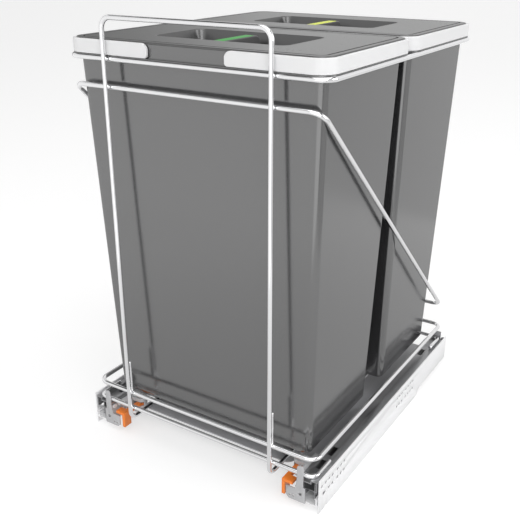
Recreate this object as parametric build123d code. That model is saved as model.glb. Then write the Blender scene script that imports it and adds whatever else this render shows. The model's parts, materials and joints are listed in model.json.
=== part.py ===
from build123d import *
import os

# Pull-out waste unit with two lift-out bins, for a 400 mm kitchen base cabinet.
# Frame: X across the cabinet, -Y is the front, Z up from the cabinet floor, millimetres.
# The origin is the middle of the footprint, on the cabinet floor.

# ---- driving dimensions ---------------------------------------------------------------
unit_width = 368.0              # over the outer faces of the two cabinet rails
slide_front = -216.0            # front end of the rails
slide_rear = 222.0              # rear end of the rails
flange_height = 49.0            # upright flange of a cabinet rail
sheet = 1.2                     # thickness of the rolled rail steel
extension = 420.0               # how far the tray pulls out

wire = 6.0                      # diameter of the frame wire
ring_half_width = 177.1         # centre lines of the bin support ring
ring_half_depth = 213.0
ring_corner = 17.0
ring_height = 525.5
tray_half_width = 175.0         # centre lines of the tray wires
tray_upper_height = 72.4
tray_corner = 14.0
low_wire_corner = 10.0
hoop_half_width = 114.2
hoop_top = 572.8
hoop_corner = 13.0
floor_wire_height = 32.0
floor_bend = 12.0
doubler_top = 122.0             # the short rods behind the hoop's front legs
doubler_diameter = 5.0
brace_half_width = 170.8        # the sloping brace runs close beside the bins
brace_front_height = 493.1
brace_rear_height = 107.9
brace_corner = 15.0

bin_wall = 2.4
bin_bottom = 58.0
bin_bottom_half_width = 153.9
bin_bottom_half_depth = 81.8
bin_corner = 9.0
bin_flare = 14.3                # how much wider each side is at the rim than at the bottom
bin_edge = 6.0                  # rounding along the bottom
bin_gap = 1.5                   # between the two bins' handles
rim_half_width = 178.0
rim_corner = 22.0
rim_thickness = 1.2
collar_wall = 2.2
collar_height = 15.6            # above the rim
handle_thickness = 4.0
handle_height = 16.6
handle_inner_end = 53.0         # half the gap between the two handles' arms
handle_play = 0.8               # handle to collar
rim_gap = 0.3                   # handle to rim
pivot_inset = 5.0               # hinge axis from the arm's end
handle_end_upper = 8.0          # roundings of the arm's end
handle_end_lower = 4.0          # small enough to turn clear of the rim
pin_diameter = 4.0
pin_clearance = 0.05            # radial, pin to handle or lever
pin_head = 7.0
pin_cover = 1.6                 # handle left in front of a pin's tip
pin_head_room = 0.7             # lid skirt to pin head

lid_thickness = 2.4
lid_skirt = 7.5
lid_skirt_wall = 2.0
lid_clearance = 0.4
lid_edge_round = 1.2
groove_inset = 7.0              # edge groove, from the lid's edge
groove_width = 2.6
groove_depth = 1.4
lid_recess_half_width = 93.0
lid_recess_half_depth = 48.0
lid_recess_corner = 12.0
lid_recess_depth = 30.0
lid_recess_taper = 14.0
lid_recess_wall = 2.0
grip_width = 16.0
grip_gap = 12.0                 # open space behind the grip's free end
grip_end_radius = 12.0
grip_sink = 1.0                 # grip below the lid's top
tag_margin = 1.5                # tag inside the grip's edges
tag_thickness = 1.0

plate_thickness = 1.2           # base plate
plate_front = -182.0
plate_corner = 12.0
plate_rear = 205.0
bracket_thickness = 1.5

ball = 3.8
ball_pitch = 19.0
race_centre = 167.0             # |x| of the middle of the ball races
race_half_width = 13.4          # over the outer legs

damper_x = 146.5                # axis of the soft-close damper
damper_level = 18.0
damper_front = 122.0
damper_rear = 212.0
damper_half_width = 5.5
damper_top = 24.5
damper_bore = 8.0
damper_rod_diameter = 4.0
damper_head = 10.0              # length of rod and buffer head in front of the housing
piston_front = 176.0            # tray in; the rod follows the tray 35 mm

hole_diameter = 4.5
hole_pitch = 9.0                # fine pitch inside one group
system_pitch = 32.0             # cabinet hole pitch, group to group
upper_row = 37.0
lower_row = 24.0

# ---- levels and places that follow ---------------------------------------------------
wire_radius = wire / 2
flange_x = unit_width / 2                               # outer face of a cabinet rail
hoop_y = -(ring_half_depth + wire)                      # legs stand against the rings
doubler_y = hoop_y + wire_radius + doubler_diameter / 2
rear_y = ring_half_depth + wire
web_level = 10.0                                        # underside of the cabinet web
cage_gap = 0.7
lower_cage_level = web_level + sheet + cage_gap
middle_foot = 13.5                                      # underside of the middle rail's feet
lower_ball_level = 17.0
lower_leg_top = 20.5
middle_web = 24.9
drawer_foot = 30.0
upper_ball_level = 33.5
middle_top = 37.0
shelf_level = 40.1                                      # underside of the drawer rail's shelf
strip_top = 45.3                                        # bright top strip that carries the tray
tray_lower_height = strip_top + wire_radius
strip_inner = 171.5
strip_outer = 181.0
leg_outer = race_half_width
leg_inner = race_half_width - sheet
middle_outer = leg_inner - 4.0
middle_inner = middle_outer - sheet
ball_x = (leg_inner + middle_outer) / 2
cage_half = 0.5
lip = 1.3

rim_bottom = ring_height + wire_radius
rim_top = rim_bottom + rim_thickness
collar_top = rim_top + collar_height
rim_half_depth = (ring_half_depth + wire_radius - 0.5 - bin_gap / 2) / 2
bin_centre = bin_gap / 2 + rim_half_depth
collar_inset = handle_thickness + handle_play
pivot_x = handle_inner_end + pivot_inset
handle_bottom = rim_top + rim_gap
pivot_z = handle_bottom + handle_height / 2
lid_bottom = collar_top
lid_top = lid_bottom + lid_thickness


# ---- helpers ----------------------------------------------------------------------------
def block(x0, x1, y0, y1, z0, z1):
    """A box between six planes."""
    return Pos((x0 + x1) / 2, (y0 + y1) / 2, (z0 + z1) / 2) * Box(x1 - x0, y1 - y0, z1 - z0)


def rod(start, end, diameter):
    """A round bar between two points."""
    axis = Vector(*end) - Vector(*start)
    return extrude(Plane(origin=start, z_dir=axis) * Circle(diameter / 2), amount=axis.length)


def bent_wire(points, radii, diameter=wire):
    """A wire through corner points, with a bend at each inner corner."""
    path = FilletPolyline(*points, radius=radii)
    return sweep(Plane(origin=path @ 0, z_dir=path % 0) * Circle(diameter / 2), path=path)


def wire_loop(plane, half_x, half_y, corner):
    """A closed rounded rectangle of wire in a plane: four straight runs and four bends."""
    pieces = []
    for sx in (-1, 1):
        pieces.append(rod((sx * half_x, -half_y + corner, 0), (sx * half_x, half_y - corner, 0), wire))
        pieces.append(rod((-half_x + corner, sx * half_y, 0), (half_x - corner, sx * half_y, 0), wire))
        for sy in (-1, 1):
            turn = {(1, 1): 0, (-1, 1): 90, (-1, -1): 180, (1, -1): 270}[(sx, sy)]
            section = Pos(corner, 0, 0) * Rot(90, 0, 0) * Circle(wire_radius)
            bend = revolve(section, Axis.Z, 90)
            pieces.append(Pos(sx * (half_x - corner), sy * (half_y - corner), 0) * Rot(0, 0, turn) * bend)
    loop = pieces[0]
    for piece in pieces[1:]:
        loop += piece
    return plane * loop


def slab(half_x, half_y, corner, z0, z1, centre=0.0):
    """An upright-sided rounded rectangle between two levels."""
    outline = Pos(0, centre, z0) * RectangleRounded(2 * half_x, 2 * half_y, corner)
    return extrude(outline, amount=z1 - z0)


def one(shape):
    """The single solid of a boolean result."""
    solids = shape.solids()
    assert len(solids) == 1, len(solids)
    return solids[0]


def mirrored(shape):
    return mirror(shape, about=Plane.YZ)


# ---- slides (built for the +X side) ---------------------------------------------------
def hole_rows():
    """Y places of the fixing holes: a group, and the same group one system pitch on."""
    front = [slide_front + 17.2 + i * hole_pitch for i in range(3)]
    rear = [slide_front + 237.5 + i * hole_pitch for i in range(3)]
    upper = [slide_front + 7.2] + front + [y + system_pitch for y in front]
    upper += rear + [y + system_pitch for y in rear] + [rear[2] + system_pitch + hole_pitch]
    lower = front[1:] + [y + system_pitch for y in front]
    lower += rear + [y + system_pitch for y in rear] + [rear[2] + system_pitch + hole_pitch]
    return upper, lower, front[0] - 4.0


def cabinet_rail():
    """Fixed member: perforated flange, web, and a channel for the lower balls."""
    c = race_centre
    body = block(flange_x - sheet, flange_x, slide_front, slide_rear, 0, flange_height)
    body += block(c - leg_outer, flange_x, slide_front, slide_rear, web_level, web_level + sheet)
    for side in (-1, 1):
        outer, inner = sorted((c + side * leg_outer, c + side * leg_inner))
        body += block(outer, inner, slide_front, slide_rear, web_level, lower_leg_top)
        a, b = sorted((c + side * leg_inner, c + side * (leg_inner - lip)))
        body += block(a, b, slide_front, slide_rear, lower_leg_top - sheet, lower_leg_top)
    # shelf for the damper, inboard at the rear
    body += block(damper_x - damper_half_width - 1, c - leg_inner, damper_front - 34, slide_rear - 6,
                  web_level, web_level + sheet)
    # the flange is cut away low down behind the last fixing holes
    step = slide_front + 322
    body -= block(flange_x - 5, flange_x + 5, step, slide_rear + 1, -1, web_level - 0.01)
    body -= Pos(flange_x, step, web_level - 6) * Rot(0, 90, 0) * Cylinder(3, 10)
    upper, lower, slot_y = hole_rows()
    for level, places in ((upper_row, upper), (lower_row, lower)):
        for y in places:
            body -= Pos(flange_x, y, level) * Rot(0, 90, 0) * Cylinder(hole_diameter / 2, 10)
    for y in (slot_y - 2, slot_y + 2):
        body -= Pos(flange_x, y, lower_row) * Rot(0, 90, 0) * Cylinder(hole_diameter / 2, 10)
    body -= block(flange_x - 5, flange_x + 5, slot_y - 2, slot_y + 2,
                  lower_row - hole_diameter / 2, lower_row + hole_diameter / 2)
    for y in (slide_front + 19, slide_front + 41):
        body -= Pos(flange_x, y, 0) * Rot(0, 90, 0) * Cylinder(3, 10)
    return one(body)


def intermediate_rail():
    """Middle member: two back-to-back channels with feet that hold the balls in."""
    c = race_centre
    y0, y1 = slide_front + 6, slide_rear - 32
    body = block(c - middle_outer, c + middle_outer, y0, y1, middle_web, middle_web + sheet)
    for side in (-1, 1):
        a, b = sorted((c + side * middle_outer, c + side * middle_inner))
        body += block(a, b, y0, y1, middle_foot, middle_top)
        a, b = sorted((c + side * middle_outer, c + side * (middle_outer + lip)))
        body += block(a, b, y0, y1, middle_foot, middle_foot + sheet)
        body += block(a, b, y0, y1, middle_top - sheet, middle_top)
    return one(body)


def drawer_rail():
    """Moving member: stepped top with the bright strip, and a channel for the upper balls."""
    c = race_centre
    y0, y1 = slide_front, slide_rear - 9
    body = block(c - leg_outer, strip_inner, y0, y1, shelf_level, shelf_level + sheet)
    body += block(strip_inner, strip_inner + sheet, y0, y1, shelf_level, strip_top)
    body += block(strip_inner, strip_outer, y0, y1, strip_top - sheet, strip_top)
    body += block(c - leg_outer, c - leg_inner, y0, y1, drawer_foot, shelf_level + sheet)
    body += block(c + leg_inner, c + leg_outer, y0, y1, drawer_foot, strip_top)
    for side in (-1, 1):
        a, b = sorted((c + side * leg_inner, c + side * (leg_inner - lip)))
        body += block(a, b, y0, y1, drawer_foot, drawer_foot + sheet)
    for y in (y0 + 30, y0 + 62, y1 - 60):               # lightening slots in the shelf
        body -= block(c - 6, c + 1, y, y + 20, shelf_level - 1, shelf_level + sheet + 1)
    for y, z in rivet_places():
        body -= Pos(c - leg_outer, y, z) * Rot(0, 90, 0) * Cylinder(1.6, 6)
    return one(body)


def ball_cage(level, web, top, y0, y1):
    """A channel of thin strip with two rows of pockets, and a ball in each pocket."""
    c = race_centre
    z0, z1 = (web, top) if web < level else (top, web)
    web_low = z0 if web < level else z1 - 2 * cage_half
    cage = block(c - ball_x - cage_half, c + ball_x + cage_half, y0, y1, web_low, web_low + 2 * cage_half)
    for side in (-1, 1):
        x = c + side * ball_x
        cage += block(x - cage_half, x + cage_half, y0, y1, z0, z1)
    balls = []
    count = int((y1 - y0 - 8) / ball_pitch) + 1
    for i in range(count):
        y = y0 + 5 + i * ball_pitch
        cage -= Pos(c, y, level) * Rot(0, 90, 0) * Cylinder(ball / 2 + 0.1, 40)
        for side in (-1, 1):
            balls.append(Pos(c + side * ball_x, y, level) * Sphere(ball / 2))
    return Compound(children=[one(cage)] + balls)


def damper_housing():
    """Closed tube block that stands on the cabinet rail's shelf."""
    x, z, end_wall = damper_x, damper_level, 3.0
    body = block(x - damper_half_width, x + damper_half_width, damper_front, damper_rear,
                 web_level + sheet, damper_top)
    body = fillet(body.edges().filter_by(Axis.Y).group_by(Axis.Z)[-1], 2.5)
    body -= rod((x, damper_front + end_wall, z), (x, damper_rear - end_wall, z), damper_bore)
    body -= rod((x, damper_front - 1, z), (x, damper_front + end_wall + 1, z), damper_rod_diameter + 0.2)
    return one(body)


def damper_rod():
    """Piston, rod and buffer head."""
    x, z = damper_x, damper_level
    head = damper_front - damper_head
    body = rod((x, head + 4, z), (x, piston_front + 1, z), damper_rod_diameter)
    body += rod((x, piston_front, z), (x, piston_front + 6, z), damper_bore - 0.2)
    body += rod((x, head, z), (x, head + 5, z), 8.0)
    return one(body)


def coil(centre, radius, pitch, height, gauge, direction):
    """A round-wire spring."""
    path = Helix(pitch, height, radius)
    turns = sweep(Plane(origin=path @ 0, z_dir=path % 0) * Circle(gauge / 2), path=path)
    return one(Plane(origin=centre, z_dir=direction) * turns)


def damper_spring():
    start = (damper_x, piston_front + 7, damper_level)
    return coil(start, 2.9, 2.4, damper_rear - 4.5 - piston_front - 7.5, 0.9, (0, 1, 0))


def rear_stop():
    """Plastic buffer at the rear of the cabinet rail, with the hook that keeps the tray down."""
    c = race_centre
    y0 = slide_rear - 8.6
    body = block(c - 10.5, c + 10.5, y0, slide_rear, web_level + sheet, 42)
    body += block(c + 10, flange_x - sheet, y0 + 3, slide_rear, 28, 46)
    body += block(c - 4, c + 8, y0 + 3, slide_rear, 42, 55)
    body += block(c - 4, c + 8, y0 - 7, slide_rear, 52, 55)
    return one(body)


def rivet_places():
    """(y, z) of the rivets along the drawer rail's inner leg."""
    bracket = [(slide_front + 5, 35.0), (slide_front + 14, 35.0)]
    plate = [(y, 34.0) for y in (-140.0, 0.0, 150.0)]
    return bracket + plate


def rail_rivets():
    """Rivets that hold the bracket and the base plate to the drawer rail."""
    face = race_centre - leg_outer
    rivets = []
    for i, (y, z) in enumerate(rivet_places()):
        skin = bracket_thickness if i < 2 else plate_thickness
        shank = rod((face - skin - 0.5, y, z), (face + sheet, y, z), 3.2)
        rivets.append(one(shank + rod((face - skin - 1.0, y, z), (face - skin, y, z), 6.0)))
    return Compound(children=rivets)


# ---- front coupling (built for the +X side) -------------------------------------------
face_y = -(ring_half_depth + wire_radius)               # front of the tray's front wires
bracket_inner = race_centre - leg_outer                 # inner leg of the drawer rail
lock_front, lock_rear = -198.0, -156.0
lock_wall = 143.0
lever_x, lever_y = 133.5, -174.0                        # the lever's upright pivot
lever_low, lever_high = 26.0, 32.0
lug_reach = 8.0                                         # lock body's lugs, round the pivot
lug_low, lug_high = 14.0, 38.0
screw_places = [(-192.0, 19.0), (-192.0, 34.0), (-162.0, 19.0), (-162.0, 34.0)]


def front_bracket():
    """Steel plate that faces front, its tab over the tray wire, and a side leg on the rail."""
    y0, y1 = face_y - bracket_thickness, face_y
    body = block(138, 165, y0, y1, 8, 31)
    body = chamfer(body.edges().filter_by(Axis.Y).group_by(Axis.X)[0].group_by(Axis.Z)[0], 4)
    body -= block(137, 151, y0 - 1, y1 + 1, 26, 40)      # lets the lever's cross bar show
    body += block(153, 162, y0, y1, 30, 62)
    body = fillet(body.edges().filter_by(Axis.Y).group_by(Axis.Z)[-1], 4)
    inner = bracket_inner - bracket_thickness
    body += block(inner, bracket_inner, y0, lock_rear, 14, 38)
    for x in (143.5, 148.5):
        body -= Pos(x, y0, 14) * Rot(90, 0, 0) * Cylinder(1.4, 6)
    body -= Pos(158, y0, 20) * Rot(90, 0, 0) * Cylinder(2.2, 6)
    for y, z in rivet_places()[:2]:
        body -= Pos(bracket_inner, y, z) * Rot(0, 90, 0) * Cylinder(1.6, 6)
    for y, z in screw_places:
        body -= Pos(bracket_inner, y, z) * Rot(0, 90, 0) * Cylinder(1.5, 6)
    return one(body)


def lock_body():
    """Plastic block that holds the release lever between two lugs."""
    outer = bracket_inner - bracket_thickness
    body = block(lock_wall, outer, lock_front, lock_rear, lug_low, lug_high)
    body = fillet(body.edges().filter_by(Axis.Y).group_by(Axis.Z)[-1].group_by(Axis.X)[0], 4)
    for z0, z1 in ((lug_low, lever_low - 0.4), (lever_high + 0.4, lug_high)):
        body += block(lever_x, lock_wall + 4, lever_y - lug_reach, lever_y + lug_reach, z0, z1)
        body += Pos(lever_x, lever_y, (z0 + z1) / 2) * Cylinder(lug_reach, z1 - z0)
    wall = Cylinder(lug_reach, lug_high - lug_low) - Cylinder(lug_reach - 1.6, lug_high - lug_low)
    wall -= block(-7, lug_reach + 1, -lug_reach - 1, 0, -40, 40)     # open where the arm swings
    body += Pos(lever_x, lever_y, (lug_low + lug_high) / 2) * wall
    body -= Pos(lever_x, lever_y, (lug_low + lug_high) / 2) * Cylinder(pin_diameter / 2, 40)
    for y, z in screw_places:
        body -= Pos(outer, y, z) * Rot(0, 90, 0) * Cylinder(1.5, 40)
        body -= Pos(lock_wall, y, z) * Rot(0, 90, 0) * Cylinder(3.0, 5)
    return one(body)


def lock_screws():
    """Screws from the lock body into the bracket."""
    screws = []
    for y, z in screw_places:
        head = rod((lock_wall + 0.2, y, z), (lock_wall + 2.5, y, z), 5.8)
        head -= rod((lock_wall - 1, y, z), (lock_wall + 1.4, y, z), 2.2)
        screws.append(one(head + rod((lock_wall + 2.0, y, z), (bracket_inner - 0.1, y, z), 3.0)))
    return Compound(children=screws)


def release_lever():
    """Finger blade, cross bar and arm, turning about an upright pin."""
    bar_front, bar_rear, inner = face_y + 0.3, -204.0, lever_x - 3
    body = block(inner, 146, bar_front, bar_rear, lever_high - 4, lever_high)
    body += block(inner, inner + 4.5, bar_front, bar_rear + 2, 9, lever_high)
    body += block(lever_x - 3, lever_x + 3, bar_rear - 2, lever_y, lever_low, lever_high)
    body += Pos(lever_x, lever_y, (lever_low + lever_high) / 2) * Cylinder(5.4, lever_high - lever_low)
    hole = pin_diameter / 2 + pin_clearance
    body -= Pos(lever_x, lever_y, lever_low) * Cylinder(hole, 40)
    body -= Pos(lever_x, lever_y, lever_high) * Cylinder(6.0, 6)
    return one(body)


def lever_pin():
    pin = rod((lever_x, lever_y, lug_low - 1), (lever_x, lever_y, lug_high + 1), pin_diameter)
    return one(pin + rod((lever_x, lever_y, lug_high), (lever_x, lever_y, lug_high + 1.2), 6.0))


def lever_spring():
    return coil((lever_x, lever_y, lever_high - 2.6), 3.1, 0.85, 2.3, 0.6, (0, 0, 1))


# ---- wire frame --------------------------------------------------------------------------
def main_hoop():
    """One wire: rear legs, floor runs, front legs and the high front bar."""
    h = hoop_half_width
    points = [(-h, rear_y, rim_bottom - wire_radius), (-h, rear_y, floor_wire_height),
              (-h, hoop_y, floor_wire_height), (-h, hoop_y, hoop_top),
              (h, hoop_y, hoop_top), (h, hoop_y, floor_wire_height),
              (h, rear_y, floor_wire_height), (h, rear_y, rim_bottom - wire_radius)]
    return one(bent_wire(points, [floor_bend, floor_bend, hoop_corner, hoop_corner, floor_bend, floor_bend]))


def leg_doublers():
    """Short rods welded behind the hoop's front legs, standing on the tray's upper ring."""
    foot = tray_upper_height + wire_radius + 0.3
    return Compound(children=[rod((x, doubler_y, foot), (x, doubler_y, doubler_top), doubler_diameter)
                              for x in (-hoop_half_width, hoop_half_width)])


def bin_support_ring():
    return one(wire_loop(Plane(origin=(0, 0, ring_height)), ring_half_width, ring_half_depth, ring_corner))


def tray_upper_ring():
    level = Plane(origin=(0, 0, tray_upper_height))
    return one(wire_loop(level, tray_half_width, ring_half_depth, tray_corner))


def brace_loop():
    """Closed wire in a sloping plane, from high at the front to low at the rear."""
    rise = brace_rear_height - brace_front_height
    run = 2 * ring_half_depth
    slope = Plane(origin=(0, 0, (brace_front_height + brace_rear_height) / 2),
                  x_dir=(1, 0, 0), z_dir=(0, -rise, run))
    return one(wire_loop(slope, brace_half_width, (rise ** 2 + run ** 2) ** 0.5 / 2, brace_corner))


def tray_end_wire(end):
    """Low wire across the front (-1) or rear (+1), its ends lying on the drawer rails."""
    y = end * ring_half_depth
    tail = end * (ring_half_depth - 40)
    x, z = tray_half_width, tray_lower_height
    return one(bent_wire([(-x, tail, z), (-x, y, z), (x, y, z), (x, tail, z)],
                         [low_wire_corner, low_wire_corner]))


def base_plate():
    """Sheet under the bins, with sides turned up onto the rails and tabs down to the dampers."""
    z0 = floor_wire_height - wire_radius - plate_thickness
    z1 = z0 + plate_thickness
    edge = bracket_inner
    body = block(-edge, edge, plate_front, plate_rear, z0, z1)
    for side in (-1, 1):
        x0, x1 = sorted((side * (lever_x - lug_reach - 1.5), side * (edge + 1)))
        body -= block(x0, x1, plate_front - 1, lock_rear + 2, z0 - 1, z1 + 1)
        x0, x1 = sorted((side * (edge - plate_thickness), side * edge))
        body += block(x0, x1, lock_rear + 2, plate_rear, z0, 38)
        x0, x1 = sorted((side * (damper_x - 4), side * (damper_x + 4)))
        tab_rear = damper_front - damper_head - 0.3
        body += block(x0, x1, tab_rear - 1.6, tab_rear, 13, z0 + 0.1)
        for y, z in rivet_places()[2:]:
            body -= Pos(side * edge, y, z) * Rot(0, 90, 0) * Cylinder(1.6, 6)
    front = [e for e in body.edges().filter_by(Axis.Z) if abs(e.center().Y - plate_front) < 0.1]
    return one(fillet(front, plate_corner))


# ---- bins (built about y = 0, then moved to their places) -----------------------------
def waste_bin():
    """Tapered tub, rim that rests on the ring, and a collar for the lid and handles."""
    def tapered(inset, floor, corner):
        """Rounded rectangles at the floor and above the rim, joined by flat sloping sides."""
        outlines = []
        for z in (floor, collar_top + 5):
            spread = bin_flare * (z - bin_bottom) / (rim_bottom - bin_bottom) - inset
            outlines.append(Pos(0, 0, z) * RectangleRounded(2 * (bin_bottom_half_width + spread),
                                                            2 * (bin_bottom_half_depth + spread), corner))
        return loft(outlines)

    tub = tapered(0, bin_bottom, bin_corner)
    tub = fillet(tub.faces().sort_by(Axis.Z)[0].edges(), bin_edge)
    tub -= block(-300, 300, -300, 300, rim_bottom + 0.1, 700)
    hollow = tapered(bin_wall, bin_bottom + bin_wall, bin_corner - bin_wall)
    hollow = fillet(hollow.faces().sort_by(Axis.Z)[0].edges(), bin_edge - 1)
    body = tub + slab(rim_half_width, rim_half_depth, rim_corner, rim_bottom, rim_top)
    i = collar_inset
    body += slab(rim_half_width - i, rim_half_depth - i, rim_corner - i, rim_bottom, collar_top)
    i += collar_wall
    body -= slab(rim_half_width - i, rim_half_depth - i, rim_corner - i, rim_top, collar_top + 1)
    body -= hollow
    for x in (-pivot_x, pivot_x):
        body -= Pos(x, 0, pivot_z) * Rot(90, 0, 0) * Cylinder(pin_diameter / 2, 4 * rim_half_depth)
    return one(body)


def bin_handle():
    """Band round the +X side of the collar, with an arm along the front and one along the rear."""
    t = handle_thickness
    top = handle_bottom + handle_height
    band = slab(rim_half_width, rim_half_depth, rim_corner, handle_bottom, top)
    band -= slab(rim_half_width - t, rim_half_depth - t, rim_corner - t, handle_bottom - 1, top + 1)
    band -= block(-rim_half_width - 1, handle_inner_end, -rim_half_depth - 1, rim_half_depth + 1,
                  handle_bottom - 1, top + 1)
    for upper, radius in ((True, handle_end_upper), (False, handle_end_lower)):
        ends = [e for e in band.edges().filter_by(Axis.Y)
                if abs(e.center().X - handle_inner_end) < 0.1 and (e.center().Z > pivot_z) == upper]
        band = fillet(ends, radius)
    bore = 2 * (rim_half_depth - pin_cover + 0.2)
    hole = Cylinder(pin_diameter / 2 + pin_clearance, bore)
    band -= Pos(pivot_x, 0, pivot_z) * Rot(90, 0, 0) * hole
    return one(band)


def handle_pins():
    """Four headed pins from inside the collar into the handles' arms."""
    pins = []
    tip = rim_half_depth - pin_cover
    face = rim_half_depth - collar_inset - collar_wall
    for x in (-pivot_x, pivot_x):
        for s in (-1, 1):
            pin = rod((x, s * (face - 0.8), pivot_z), (x, s * tip, pivot_z), pin_diameter)
            pins.append(one(pin + rod((x, s * (face - 1.2), pivot_z), (x, s * face, pivot_z), pin_head)))
    return Compound(children=pins)


def bin_lid():
    """Plate with an edge groove, a skirt, a tapered finger recess and a grip across it."""
    i = collar_inset
    body = slab(rim_half_width - i, rim_half_depth - i, rim_corner - i, lid_bottom, lid_top)
    body = fillet(body.faces().sort_by(Axis.Z)[-1].edges(), lid_edge_round)
    s = i + collar_wall + lid_clearance
    skirt = slab(rim_half_width - s, rim_half_depth - s, rim_corner - s, lid_bottom - lid_skirt, lid_bottom + 0.1)
    s += lid_skirt_wall
    skirt -= slab(rim_half_width - s, rim_half_depth - s, rim_corner - s, lid_bottom - lid_skirt - 1, lid_bottom + 1)
    for x in (-pivot_x, pivot_x):                       # room for the pins' heads
        room = pin_head / 2 + pin_head_room
        skirt -= block(x - room, x + room, -rim_half_depth, rim_half_depth,
                       lid_bottom - lid_skirt - 1, pivot_z + room)
    body += skirt
    g = i + groove_inset
    groove = slab(rim_half_width - g, rim_half_depth - g, rim_corner - g, lid_top - groove_depth, lid_top + 1)
    g += groove_width
    groove -= slab(rim_half_width - g, rim_half_depth - g, rim_corner - g, lid_top - 2, lid_top + 2)
    body -= groove
    w, d, t, r = lid_recess_half_width, lid_recess_half_depth, lid_recess_wall, lid_recess_corner
    mouth = Plane(origin=(0, 0, lid_top), z_dir=(0, 0, -1))
    cup = extrude(mouth * RectangleRounded(2 * (w + t), 2 * (d + t), r + t), amount=lid_recess_depth + t,
                  taper=lid_recess_taper)
    body += cup
    body -= extrude(mouth * RectangleRounded(2 * w, 2 * d, r), amount=lid_recess_depth, taper=lid_recess_taper)
    # grip: an upright fin from the recess's front wall, with a rounded free end
    level = lid_top - grip_sink
    fin = block(-grip_width / 2, grip_width / 2, -d - 1, d - grip_gap, lid_top - lid_recess_depth - 0.5, level)
    end = [e for e in fin.edges().filter_by(Axis.X) if e.center().Z > level - 0.1 and e.center().Y > 0]
    fin = fillet(end, grip_end_radius)
    fin -= tag_seat(0)
    body += fin
    return one(body)


def tag_seat(play):
    """The shallow rectangle in the grip's top that the colour tag fills."""
    half = grip_width / 2 - tag_margin - play
    front = -lid_recess_half_depth + lid_recess_wall + play
    rear = lid_recess_half_depth - grip_gap - grip_end_radius - play
    level = lid_top - grip_sink
    return block(-half, half, front, rear, level - tag_thickness + 0.2, level + 0.2)


def colour_tag():
    """Clip-in strip that says which waste goes in."""
    body = tag_seat(0.1)
    return one(fillet(body.faces().sort_by(Axis.Z)[-1].edges(), 0.3))


# ---- all the nodes -----------------------------------------------------------------------
def model():
    nodes = {}
    travel = {"lower": extension / 4, "upper": extension * 3 / 4}
    pairs = {
        "cabinet_rail": cabinet_rail(),
        "intermediate_rail": intermediate_rail(),
        "drawer_rail": drawer_rail(),
        "ball_cage_lower": ball_cage(lower_ball_level, lower_cage_level, lower_leg_top + 1.5,
                                     slide_front + travel["lower"] + 2, 84),
        "ball_cage_upper": ball_cage(upper_ball_level, middle_top + cage_gap + 2 * cage_half,
                                     drawer_foot - 1.5, -104, 106),
        "damper_housing": damper_housing(),
        "damper_rod": damper_rod(),
        "damper_spring": damper_spring(),
        "rear_stop": rear_stop(),
        "rail_rivets": rail_rivets(),
        "front_bracket": front_bracket(),
        "lock_body": lock_body(),
        "lock_screws": lock_screws(),
        "release_lever": release_lever(),
        "lever_pin": lever_pin(),
        "lever_spring": lever_spring(),
    }
    for name, shape in pairs.items():
        nodes[name + "_right"] = shape
        nodes[name + "_left"] = mirrored(shape)
    nodes["main_hoop"] = main_hoop()
    nodes["leg_doublers"] = leg_doublers()
    nodes["bin_support_ring"] = bin_support_ring()
    nodes["brace_loop"] = brace_loop()
    nodes["tray_upper_ring"] = tray_upper_ring()
    nodes["tray_front_wire"] = tray_end_wire(-1)
    nodes["tray_rear_wire"] = tray_end_wire(1)
    nodes["base_plate"] = base_plate()
    handle = bin_handle()
    bin_parts = {
        "bin": waste_bin(),
        "bin_handle_right": handle,
        "bin_handle_left": mirrored(handle),
        "handle_pins": handle_pins(),
        "bin_lid": bin_lid(),
        "colour_tag": colour_tag(),
    }
    for end, side in (("front", -1), ("rear", 1)):
        for name, shape in bin_parts.items():
            nodes[name + "_" + end] = Pos(0, side * bin_centre, 0) * shape
    return nodes


os.makedirs("parts", exist_ok=True)
for node_name, node_shape in model().items():
    export_step(node_shape, os.path.join("parts", node_name + ".step"))
print("tray slides", extension, "mm; bins at y =", -bin_centre, bin_centre)
print("handle axis x, z:", pivot_x, pivot_z, "lever axis:", lever_x, lever_y)
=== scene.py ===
import json

import bmesh
import bpy
import numpy as np
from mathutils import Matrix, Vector


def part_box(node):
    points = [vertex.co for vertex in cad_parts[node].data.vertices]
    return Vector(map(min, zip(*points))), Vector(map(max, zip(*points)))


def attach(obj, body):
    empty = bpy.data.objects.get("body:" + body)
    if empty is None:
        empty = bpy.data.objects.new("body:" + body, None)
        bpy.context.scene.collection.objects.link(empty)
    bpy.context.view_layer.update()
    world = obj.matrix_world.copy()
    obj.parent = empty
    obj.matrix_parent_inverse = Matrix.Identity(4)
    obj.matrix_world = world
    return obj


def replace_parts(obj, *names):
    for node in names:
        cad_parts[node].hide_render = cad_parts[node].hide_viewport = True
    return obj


# Pull-out waste unit: chromed wire frame on two cabinet slides, with two lift-out bins.
# Metres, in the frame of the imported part: X across, -Y the front, Z up.

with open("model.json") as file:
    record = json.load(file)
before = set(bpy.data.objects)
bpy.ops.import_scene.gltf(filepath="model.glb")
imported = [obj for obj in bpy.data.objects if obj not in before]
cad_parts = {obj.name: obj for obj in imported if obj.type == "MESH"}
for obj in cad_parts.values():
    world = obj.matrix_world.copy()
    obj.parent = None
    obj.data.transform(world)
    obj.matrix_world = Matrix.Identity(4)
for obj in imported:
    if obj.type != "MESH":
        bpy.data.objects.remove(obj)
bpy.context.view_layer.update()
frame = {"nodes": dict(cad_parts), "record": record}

MM = 0.001
BEND_STEPS = 10                         # steps round a quarter bend
FINE_BEND_STEPS = 14                    # and round the corners of bins and lids
WIRE_SIDES = 16
DOME = 0.35                             # height of a wire's domed end, as a share of its radius
DOME_STEPS = 4
DOME_TIP = 0.25                         # radius of the dome's flat tip, as a share


# ---- paths, sections and lofts ------------------------------------------------------------
def unit(v):
    """Each vector divided by its length."""
    return v / np.maximum(np.linalg.norm(v, axis=-1, keepdims=True), 1e-12)


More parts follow.
